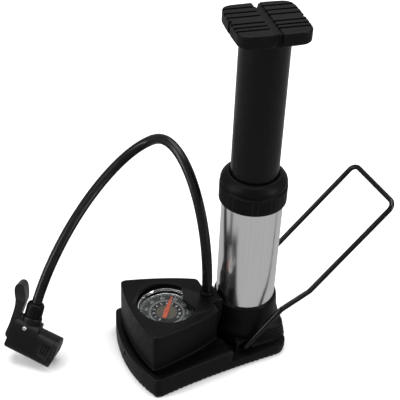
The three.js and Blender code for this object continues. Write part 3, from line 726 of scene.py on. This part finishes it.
def base_outline(inset):
    """The tray seen from above, drawn in by the inset."""
    side, wide = 34.4 - inset, 41.6 - inset
    gauge_end, pedal_end = -89.5 + inset, 23.5 - inset
    corner = gauge_end + 5.5
    return outline_of((corner, -wide), [
        ((-40, -side - 0.2), (10, -side)),
        ((pedal_end - 1, -side), (pedal_end, -23)),
        ((pedal_end + 8.5, 0), (pedal_end, 23)),
        ((pedal_end - 1, side), (10, side)),
        ((-40, side + 0.2), (corner, wide)),
        ((gauge_end + 1, wide + 0.6), (gauge_end, 38.5 - inset)),
        ((gauge_end - 15, 0), (gauge_end, inset - 38.5)),
        ((gauge_end + 1, -wide - 0.6), (corner, -wide)),
    ])


def housing_outline(inset):
    """The gauge housing seen from above, with its neck to the socket, drawn in by the inset."""
    wide, end, narrow = 33.6 - inset, -87.8 + inset, 20.5 - inset
    shoulder, neck = -30.8 - inset, 8.5 - inset
    corner = end + 4.4
    return outline_of((corner, -wide), [
        ((-52, inset - 28.5), (-33.5, -narrow)),
        ((shoulder, inset - 19.8), (shoulder, inset - 16.5)),
        ((shoulder, -neck - 3.5),),
        ((shoulder, -neck), (shoulder + 3.8, -neck)),
        ((-20, -neck),),
        ((-20, neck),),
        ((shoulder + 3.8, neck),),
        ((shoulder, neck), (shoulder, neck + 3.5)),
        ((shoulder, 16.5 - inset),),
        ((shoulder, 19.8 - inset), (-33.5, narrow)),
        ((-52, 28.5 - inset), (corner, wide)),
        ((end + 0.6, wide + 0.5), (end, 31 - inset)),
        ((end - 7.2, 0), (end, inset - 31)),
        ((end + 0.6, -wide - 0.5), (corner, -wide)),
    ])


def roof_height(x, depth):
    """The height of the housing's sloping roof, less the depth."""
    return ROOF_HIGH - ROOF_SLOPE * (x - ROOF_END) - depth


# ------------------------------------------------------------------ base

SCREWS = [(-78, -23), (-78, 23), (8, -20), (8, 20)]
SIDE_CLEATS = range(-90, 14, 4)
END_CLEATS = range(-32, 33, 4)
CLEAT_TOP = 0.9
SOLE_TOP = 2.7
TRAY_FLOOR = 8.3
TRAY_LEDGE = 14.8
TRAY_RIM = 17.5
BAY = 31
BAY_TOP = 30
ROOF_END = -86
ROOF_HIGH = 51.7
ROOF_SLOPE = 0.075
ROOF_EDGE = 1.5
ROOF_STEPS = 6
ROOF_THICK = 2.5
HOUSING_WALL = 2.2


def make_sole():
    sole = rounded_plate("sole", lambda inset: base_outline(0.6 + inset), 0, SOLE_TOP, 0.35, 0.35, 2)
    cuts = []
    for x in SIDE_CLEATS:
        cuts.append(box_block("cleat", (x, 31, -1), (x + 1.6, 46, CLEAT_TOP)))
        cuts.append(box_block("cleat", (x, -46, -1), (x + 1.6, -31, CLEAT_TOP)))
    for y in END_CLEATS:
        cuts.append(box_block("cleat", (-104, y - 0.8, -1), (-84, y + 0.8, CLEAT_TOP)))
        cuts.append(box_block("cleat", (18, y * 0.8 - 0.7, -1), (34, y * 0.8 + 0.7, CLEAT_TOP)))
    for x, y in SCREWS:
        cuts.append(rod("screw_hole", 3.5, (x, y, -1), (x, y, 4)))
    combine(sole, "DIFFERENCE", *cuts)
    dress(sole, SOLE, "sole_rubber", BASE, "rubber_sole")


def make_tray():
    floor = rounded_plate("tray", base_outline, 3, TRAY_FLOOR, 0.9, 0.5)
    rim = rounded_plate("rim", base_outline, 6, TRAY_RIM, 1.1)
    pocket = rounded_plate("pocket", lambda inset: base_outline(3.0 - inset), TRAY_LEDGE, 20, 0)
    step = prism("step", rounded([(-26, 8.2), (-24.6, 20), (60, 20), (60, 8.2)], 1.5, True), -60, 60, "XZ")
    room = rod("socket_bay", BAY, (0, 0, TRAY_FLOOR), (0, 0, BAY_TOP), 96)
    combine(rim, "DIFFERENCE", pocket, step, room)
    inside = loft("inside", [flat_ring(housing_outline(2.4), z) for z in (TRAY_FLOOR, 22)])
    combine(rim, "DIFFERENCE", inside)
    plinth = rounded_plate("plinth", lambda inset: housing_outline(1.2 + inset), 6, 19.7, 0.3)
    hollow = loft("hollow", [flat_ring(housing_outline(3.6), z) for z in (7.9, 22)])
    combine(plinth, "DIFFERENCE", hollow, rod("bay", BAY, (0, 0, 5), (0, 0, BAY_TOP), 64),
            box_block("neck_bay", (-38, -8, 5), (0, 8, BAY_TOP)))
    combine(floor, "UNION", rim)
    combine(floor, "UNION", plinth)
    holes = [rod("screw_hole", 1.8, (x, y, 0), (x, y, 12)) for x, y in SCREWS]
    holes.append(rod("end_hole", 1.9, (-110, 0, 11), (-88, 0, 11), 24))
    combine(floor, "DIFFERENCE", *holes)
    soften(floor, 0.45, 2, 40)
    dress(floor, PLASTIC, "base_plastic", BASE, "base_tray")


def make_housing():
    levels = [(0.5, 20.0), (-0.35, 20.2), (-0.55, 20.8), (-0.45, 21.4), (0.0, 21.7)]
    rings = [flat_ring(housing_outline(inset), height) for inset, height in levels]
    for step in range(ROOF_STEPS + 1):
        angle = math.pi / 2 * step / ROOF_STEPS
        inset = ROOF_EDGE * (1 - math.cos(angle))
        drop = ROOF_EDGE * (1 - math.sin(angle))
        rings.append([(x, y, roof_height(x, drop)) for x, y in housing_outline(inset)])
    cover = loft("cover", rings)
    inner = housing_outline(HOUSING_WALL)
    hollow = loft("hollow", [
        flat_ring(inner, 18),
        [(x, y, roof_height(x, ROOF_THICK)) for x, y in inner],
    ])
    tab = [(-51, 0), (-46.5, -13.3), (-40, -24), (-30, -24), (-30, 24), (-40, 24), (-46.5, 13.3)]
    window_profile = [(0, 40), (21.5, 40), (21.5, 46.9), (22.6, 60), (0, 60)]
    window = lathe("window", window_profile, edge=0, centre=(-64.3, 0))
    combine(window, "DIFFERENCE", prism("tab", tab, 39, 61))
    socket_room = lathe("socket_room", [
        (0, 10), (27.6, 10), (27.4, 20), (25.6, 26), (24.8, 31), (24.3, 37), (24.15, 60), (0, 60)], edge=0)
    combine(cover, "DIFFERENCE", hollow, window)
    boss = lathe("boss", [(0, 38), (6.6, 38), (6.2, 47), (5.7, 48.0), (0, 48.0)], edge=0.5, centre=GLAND)
    combine(cover, "UNION", boss)
    combine(cover, "DIFFERENCE", socket_room, rod("gland_hole", 3.3, (*GLAND, 30), (*GLAND, 60)))
    soften(cover, 0.35, 2, 40)
    dress(cover, PLASTIC, "base_plastic", BASE, "gauge_housing")


make_sole()
make_tray()
make_housing()
for number in range(1, 5):
    keep(f"base_screw_{number}", STEEL)

# ------------------------------------------------------------------ gauge

GAUGE = (-63.8, 0)
DIAL_TOP = 40.3
ZERO_AT = 215
FULL_AT = -55
NEEDLE_AT = 53.7


def dial_angle(mark, count):
    """The angle of a mark, counted from the zero mark, on a scale of that many steps."""
    return math.radians(ZERO_AT + (FULL_AT - ZERO_AT) * mark / count)


def dial_ring(name, inner, outer, raised, material):
    profile = band(inner, outer, DIAL_TOP, DIAL_TOP + raised)
    ring = lathe(name, profile, closed=True, edge=0, segments=120, centre=GAUGE)
    dress(ring, material, "dial_print", BASE)


def dial_ticks(name, inner, outer, count, width, material):
    bm = bmesh.new()
    for i in range(count + 1):
        angle = dial_angle(i, count)
        along = Vector((math.cos(angle), math.sin(angle), 0))
        across = Vector((-along.y, along.x, 0)) * width / 2
        centre = Vector((*GAUGE, 0))
        corners = [centre + along * inner - across, centre + along * outer - across,
                   centre + along * outer + across, centre + along * inner + across]
        low = [bm.verts.new((p + Vector((0, 0, DIAL_TOP))) * MM) for p in corners]
        high = [bm.verts.new((p + Vector((0, 0, DIAL_TOP + 0.1))) * MM) for p in corners]
        bm.faces.new(low)
        bm.faces.new(high)
        for k in range(4):
            bm.faces.new((low[k], low[(k + 1) % 4], high[(k + 1) % 4], high[k]))
    ticks = to_object(name, bm)
    dress(ticks, material, "dial_print", BASE)


def dial_figures(name, values, radius, size, material):
    """Figures round the dial, upright as read from in front of it, as one mesh."""
    made = []
    for i, value in enumerate(values):
        angle = dial_angle(i, len(values) - 1)
        data = bpy.data.curves.new(name, "FONT")
        data.body = value
        data.size = size * MM
        data.extrude = 0.05 * MM
        data.align_x = "CENTER"
        data.align_y = "CENTER"
        figure = bpy.data.objects.new(name, data)
        bpy.context.scene.collection.objects.link(figure)
        bpy.context.view_layer.update()
        graph = bpy.context.evaluated_depsgraph_get()
        mesh = bpy.data.meshes.new_from_object(figure.evaluated_get(graph))
        bpy.data.objects.remove(figure)
        x = GAUGE[0] + radius * math.cos(angle)
        y = GAUGE[1] + radius * math.sin(angle)
        spot = Vector((x, y, DIAL_TOP + 0.12)) * MM
        mesh.transform(Matrix.Translation(spot) @ Matrix.Rotation(angle - math.pi / 2, 4, "Z"))
        made.append(mesh)
    bm = bmesh.new()
    for mesh in made:
        bm.from_mesh(mesh)
        bpy.data.meshes.remove(mesh)
    figures = to_object(name, bm)
    dress(figures, material, "dial_print", BASE)


def make_dial():
    dial = lathe("dial", band(0, 20.4, 39.5, DIAL_TOP), edge=0.15, centre=GAUGE)
    dress(dial, DIAL_GREY, "dial_print", BASE, "gauge_dial")
    dial_ring("dial_centre", 2, 7.6, 0.06, DIAL_BROWN)
    dial_ring("dial_band", 7.6, 11.9, 0.06, DIAL_BLACK)
    dial_ring("dial_line", 12.0, 12.4, 0.08, DIAL_PALE)
    dial_ring("dial_second_line", 13.0, 13.2, 0.08, DIAL_PALE)
    dial_ring("dial_outer_line", 18.9, 19.2, 0.08, DIAL_PALE)
    dial_ticks("outer_ticks", 17.5, 18.8, 32, 0.24, DIAL_PALE)
    dial_ticks("outer_main_ticks", 16.9, 18.8, 8, 0.45, DIAL_PALE)
    dial_ticks("inner_ticks", 11.0, 11.8, 22, 0.2, DIAL_PALE)
    outer = [str(value) for value in range(0, 161, 20)]
    inner = [str(value) for value in range(12)]
    dial_figures("outer_figures", outer, 15.1, 3.4, DIAL_PALE)
    dial_figures("inner_figures", inner, 9.4, 2.5, DIAL_WHITE)


def gauge_ring(name, profile, material, slot, *stands_for, edge=0.12):
    ring = lathe(name, profile, closed=True, edge=edge, segments=144, centre=GAUGE)
    dress(ring, material, slot, BASE, *stands_for)


def make_gauge():
    make_dial()
    gauge_ring("bezel", [
        (20.7, 41.2), (20.7, 44.2), (19.5, 44.2), (19.5, 44.8), (20.2, 45.0), (20.5, 45.4), (21.2, 45.5),
        (22.1, 45.3), (22.3, 44.9), (22.3, 44.2), (21.1, 44.0), (21.1, 41.2),
    ], CHROME, "bezel_chrome", "gauge_bezel")
    gauge_ring("dial_ledge", [
        (19.5, 40.5), (20.0, 40.5), (20.0, 41.0), (19.75, 41.15), (19.5, 41.0),
    ], CHROME, "bezel_chrome")
    # Painted dark reflection: the bezel's inner wall is black plastic so the bezel looks dark there.
    gauge_ring("dial_wall", [
        (20.05, 40.5), (20.5, 40.5), (20.5, 42.85), (20.25, 42.85), (20.15, 41.4),
    ], INNER, "inner_plastic")
    # Painted dark reflection: black bands laid on the chrome bezel between its bright rings.
    for profile in (band(19.6, 20.75, 44.75, 45.2), band(21.1, 22.02, 45.1, 45.62)):
        gauge_ring("bezel_painted_dark_band", profile, INNER, "inner_plastic", edge=0.15)
    lens = lathe("lens", band(0, 20.35, 43, 44), edge=0.2, segments=128, centre=GAUGE)
    dress(lens, LENS, "lens_clear", BASE, "gauge_lens")
    case = lathe("case", [(0, 20.6), (22.3, 20.6), (22.3, 43.7), (20.7, 43.7), (20.7, 22.2), (0, 22.2)],
                 edge=0.3, centre=GAUGE)
    dress(case, INNER, "inner_plastic", BASE, "gauge_case")


def make_needle():
    half = [(-8.2, 0.9), (-7.6, 1.5), (-2.6, 1.7), (8, 1.25), (15.6, 0.55), (16.6, 0)]
    outline = half + [(x, -y) for x, y in reversed(half[:-1])]
    needle = rounded_prism("needle", outline, 41.5, 42.1)
    hub_profile = [(0, 41), (2.2, 41), (2.2, 42.2), (1.7, 42.6), (0, 42.65)]
    hub = lathe("needle_hub", hub_profile, edge=0.15, segments=48)
    turn = Matrix.Translation(Vector((*GAUGE, 0)) * MM) @ Matrix.Rotation(math.radians(NEEDLE_AT), 4, "Z")
    needle.data.transform(turn)
    hub.data.transform(turn)
    dress(needle, NEEDLE, "needle_paint", "needle", "gauge_needle")
    dress(hub, NEEDLE, "needle_paint", "needle")


make_gauge()
make_needle()
for name, material in (("needle_arbor", STEEL), ("bourdon_tube", BRASS), ("gauge_movement", BRASS),
                       ("gauge_stem", BRASS), ("air_manifold", INNER), ("outlet_valve", SEAL)):
    keep(name, material)

# ------------------------------------------------------------------ socket, barrel and collar

PIVOT = (-13.5, 12.5)
SOCKET_BORE = 22.1
SOCKET_SEAT = 16
BUSH_HOLE = 3.9
SKIRT_HALF = 27.6
SKIRT_END = 27
RIBS = 4


def skirt_outline(inset):
    wide, tip = SKIRT_HALF - inset, SKIRT_END - inset
    return outline_of((-6, -wide), [
        ((12, -wide),),
        ((tip - 2.5, -wide), (tip - 2, 8 - wide)),
        ((tip + 2, 0), (tip - 2, wide - 8)),
        ((tip - 2.5, wide), (12, wide)),
        ((-6, wide),),
    ])


def make_socket():
    cup = lathe("socket", [
        (0, TRAY_FLOOR), (27.2, TRAY_FLOOR), (27.15, 14), (27.0, 20), (26.2, 23), (25.2, 26),
        (24.7, 28.5), (24.4, 31), (24.1, 34), (23.9, 37), (23.5, 41), (23.0, 42.5), (SOCKET_BORE, 42.5),
        (SOCKET_BORE, SOCKET_SEAT), (0, SOCKET_SEAT)], edge=0.5, segments=128)
    levels = [(0.0, 8.4), (0.0, 10.3), (0.35, 10.6)]
    for rib in range(RIBS):
        low = 10.6 + 2.7 * rib
        inset = 0.75 + 0.45 * rib
        levels += [
            (inset, low + 0.15), (inset, low + 0.6), (inset - 0.4, low + 0.8), (inset - 0.3, low + 2.5)]
    levels += [(2.4, 21.6), (2.9, 22.5), (3.9, 23.0)]
    skirt = loft("steps", [flat_ring(skirt_outline(inset), height) for inset, height in levels])
    pivots = prism("pivots", rounded(band(-18.5, -8.5, 8.35, 17.5), 2.5, True, 5), -27.4, 27.4, "XZ")
    combine(cup, "UNION", skirt, pivots)
    cuts = [rod("bore", SOCKET_BORE, (0, 0, SOCKET_SEAT), (0, 0, 50), 128)]
    for side in (-1, 1):
        near = (PIVOT[0], side * 23.4, PIVOT[1])
        far = (PIVOT[0], side * 30, PIVOT[1])
        cuts.append(rod("bush_hole", BUSH_HOLE, near, far))
    combine(cup, "DIFFERENCE", *cuts)
    weld(cup)
    dress(cup, PLASTIC, "base_plastic", BASE, "barrel_socket")


def make_barrel():
    barrel = lathe("barrel", band(20.4, 21.8, 17.6, 140), closed=True, edge=0.3, segments=160)
    dress(barrel, ALUMINIUM, "barrel_aluminium", BASE, "barrel_tube")
    collar = lathe("collar", [
        (22.1, 128.2), (24.1, 128.2), (24.15, 140.6), (23.3, 141.1), (22.75, 141.7), (22.9, 142.3),
        (23.65, 142.8), (23.75, 144.2), (23.3, 145.8), (22.4, 147.2), (21.0, 148.7), (19.4, 149.9),
        (17.6, 150.4), (17.6, 147.2), (20.2, 147.2), (20.2, 143), (22.1, 143),
    ], closed=True, edge=0.45, segments=160)
    combine(collar, "DIFFERENCE", ring_of_rods("grip", 36, 24.45, 0.6, 129.6, 139.4))
    soften(collar, 0.2, 2, 40)
    dress(collar, PLASTIC, "base_plastic", BASE, "collar_nut")


def make_seals():
    foot = lathe("foot_ring", band(20.6, 21.7, 16.3, 17.3), closed=True, edge=0.2)
    dress(foot, SEAL, "seal_rubber", BASE, "foot_seal")
    guide = lathe("guide", [
        (17.3, 134.5), (20.1, 134.5), (20.1, 140.3), (21.8, 140.3), (21.8, 142.7), (17.3, 142.7),
    ], closed=True, edge=0.3)
    dress(guide, SATIN, "satin_plastic", BASE, "guide_bush")
    wiper = lathe("wiper", band(17.25, 19.9, 143.2, 146.9), closed=True, edge=0.5)
    dress(wiper, SEAL, "seal_rubber", BASE, "wiper_ring")
    for side, name in ((-1, "left"), (1, "right")):
        bush = lathe(f"bush_{name}", band(2.3, 3.6, 24, 27.3), closed=True, edge=0.3, segments=48)
        lay_across(bush, PIVOT, -90 * side)
        dress(bush, SATIN, "satin_plastic", BASE, f"pedal_bush_{name}")


make_socket()
make_barrel()
make_seals()

# ------------------------------------------------------------------ plunger and tread

TREAD_TURN = -8.5
TREAD_TOP = 266
GROOVES = (17, 10.6, 4.4, -5, -10.2, -14.8)
GROOVE_FLOOR = 264.2
CHANNEL_FLOOR = 264.8
CUT_TOP = 270
CUT_LOW = 250


def tread_outline(inset):
    """The foot tread seen from above, with slightly bowed sides, drawn in by the inset."""
    x, y = 25 - inset, 23.6 - inset
    corner_x, corner_y = x - 8, y - 8
    return outline_of((-corner_x, -y + 0.4), [
        ((0, -y - 0.4), (corner_x, -y + 0.4)),
        ((x - 1, -y + 1), (x - 0.4, -corner_y)),
        ((x + 0.4, 0), (x - 0.4, corner_y)),
        ((x - 1, y - 1), (corner_x, y - 0.4)),
        ((0, y + 0.4), (-corner_x, y - 0.4)),
        ((-x + 1, y - 1), (-x + 0.4, corner_y)),
        ((-x - 0.4, 0), (-x + 0.4, -corner_y)),
        ((-x + 1, -y + 1), (-corner_x, -y + 0.4)),
    ])


def make_tread():
    tread = rounded_plate("tread", tread_outline, 256.3, TREAD_TOP, 0.9, 2.2)
    spigot = rod("spigot", 14.7, (0, 0, 243), (0, 0, 258), 64)
    cuts = []
    for y in GROOVES:
        outline = rounded([
            (y - 1.15, CUT_TOP), (y - 0.95, GROOVE_FLOOR), (y + 0.95, GROOVE_FLOOR), (y + 1.15, CUT_TOP),
        ], 0.7, True)
        for low, high in ((-30, -2), (2, 30)):
            cuts.append(prism_along_x("groove", outline, low, high))
    channel = rounded([(-3.4, CUT_TOP), (-2.9, CHANNEL_FLOOR), (2.9, CHANNEL_FLOOR), (3.4, CUT_TOP)], 0.8)
    cuts.append(prism("channel", channel, -40, 40, "XZ"))
    cuts.append(rod("front_notch", 3.4, (0, -24.2, CUT_LOW), (0, -24.2, CUT_TOP)))
    cuts.append(prism("back_notch", [(-4.4, 24.8), (-1, 17.6), (2.4, 24.8)], CUT_LOW, CUT_TOP))
    for side in (-1, 1):
        spot = (side * 25.2, -0.6)
        cuts.append(rod("side_notch", 2.2, (*spot, CUT_LOW), (*spot, CUT_TOP), 24))
    combine(tread, "UNION", spigot)
    combine(tread, "DIFFERENCE", *cuts)
    tread.data.transform(Matrix.Rotation(math.radians(TREAD_TURN), 4, "Z"))
    soften(tread, 0.35, 2, 40)
    dress(tread, TREAD, "base_plastic", "plunger", "handle_tread")


def make_plunger():
    tube = lathe("tube", band(15, 17, 131.3, 256), closed=True, segments=128)
    dress(tube, SATIN, "satin_plastic", "plunger", "plunger_tube")
    piston = lathe("piston_body", [
        (0, 121.3), (19.6, 121.3), (20.1, 121.8), (20.1, 124.4), (17.8, 124.4), (17.8, 127.8),
        (20.1, 127.8), (20.1, 131), (14.7, 131), (14.7, 141), (13.7, 142), (0, 142)], edge=0.3)
    dress(piston, INNER, "inner_plastic", "plunger", "piston")
    turns = [math.pi * i / 8 for i in range(16)]
    section = [(19.1 + 1.2 * math.cos(a), 126.1 + 1.2 * math.sin(a)) for a in turns]
    ring = lathe("ring_seal", section, closed=True, edge=0)
    dress(ring, SEAL, "seal_rubber", "piston_seal", "piston_oring")


make_tread()
make_plunger()

# ------------------------------------------------------------------ wire pedal

PEDAL_RISE = 44.57
WIRE_RADIUS = 1.95


def pedal_point(point):
    """From [along the pedal, square to it, y] to the frame, in millimetres."""
    along, across, y = point
    rise = math.radians(PEDAL_RISE)
    x = PIVOT[0] + along * math.cos(rise) - across * math.sin(rise)
    z = PIVOT[1] + along * math.sin(rise) + across * math.cos(rise)
    return Vector((x, y, z))


def bent_path(corners, radii, steps=12):
    """Straight runs joined by round bends."""
    found = [corners[0]]
    for i, radius in enumerate(radii, start=1):
        here = corners[i]
        back, on = (corners[i - 1] - here).normalized(), (corners[i + 1] - here).normalized()
        half = back.angle(on) / 2
        middle = here + (back + on).normalized() * radius / math.sin(half)
        first = here + back * radius / math.tan(half) - middle
        axis = (-back).cross(on).normalized()
        for step in range(steps + 1):
            turn = Matrix.Rotation((math.pi - 2 * half) * step / steps, 3, axis)
            found.append(middle + turn @ first)
    found.append(corners[-1])
    return found


def tube_along(name, path, radius, sides=24):
    """A round bar along a path in millimetres, with eased ends."""
    first, last = (path[1] - path[0]).normalized(), (path[-1] - path[-2]).normalized()
    ease = radius * 0.25
    line = [path[0], path[0] + first * ease, *path[1:-1], path[-1] - last * ease, path[-1]]
    radii = [radius - ease, radius] + [radius] * (len(path) - 2) + [radius, radius - ease]
    rings = []
    side = first.orthogonal().normalized()
    for i, (here, size) in enumerate(zip(line, radii)):
        before, after = line[max(i - 1, 0)], line[min(i + 1, len(line) - 1)]
        axis = (after - before).normalized()
        side = (side - axis * side.dot(axis)).normalized()
        other = axis.cross(side)
        turns = [2 * math.pi * k / sides for k in range(sides)]
        rings.append([here + (side * math.cos(a) + other * math.sin(a)) * size for a in turns])
    return loft(name, rings)


def make_pedal():
    half = [(0, 0, 24.4), (0, 0, 30), (41, 0.8, 30), (64, -10, 28), (153.6, -10, 28)]
    corners = half + [(along, across, -y) for along, across, y in reversed(half)]
    radii = [3, *[6] * 6, 3]
    pedal = tube_along("pedal_loop", bent_path([pedal_point(p) for p in corners], radii), WIRE_RADIUS)
    dress(pedal, WIRE, "wire_enamel", "pedal", "pedal_wire")


make_pedal()

# ------------------------------------------------------------------ floor and light

FLOOR_HALF = 3000
LIT_POINT = (-0.03, 0, 0.1)
WORLD_LIGHT = 0.46


def add_area(name, at, power, size, size_y=None):
    """An area light that faces the pump."""
    data = bpy.data.lights.new(name, "AREA")
    data.energy = power
    data.size = size
    if size_y:
        data.shape = "RECTANGLE"
        data.size_y = size_y
    lamp = bpy.data.objects.new(name, data)
    bpy.context.scene.collection.objects.link(lamp)
    away = Vector(at) - Vector(LIT_POINT)
    lamp.matrix_world = Matrix.Translation(at) @ away.to_track_quat("Z", "Y").to_matrix().to_4x4()


def make_studio():
    floor = box_block("studio_floor", (-FLOOR_HALF, -FLOOR_HALF, -6), (FLOOR_HALF, FLOOR_HALF, -0.02))
    paper, shader = make_material("studio_paper", (0.95, 0.95, 0.95), 0.9)
    shader.inputs["Specular IOR Level"].default_value = 0.1
    floor.data.materials.append(paper)
    floor.visible_glossy = False
    world = bpy.data.worlds.new("studio")
    world.use_nodes = True
    bpy.context.scene.world = world
    background = world.node_tree.nodes["Background"]
    background.inputs["Color"].default_value = (1, 1, 1, 1)
    background.inputs["Strength"].default_value = WORLD_LIGHT
    add_area("top", (0.1, 0.25, 1.5), power=25, size=1.3)
    add_area("left_strip", (-1.15, 0.1, 0.5), power=11, size=0.3, size_y=1.2)
    add_area("right_strip", (0.75, -0.95, 0.5), power=9, size=0.3, size_y=1.2)
    bpy.context.scene.view_settings.view_transform = "Standard"


make_studio()
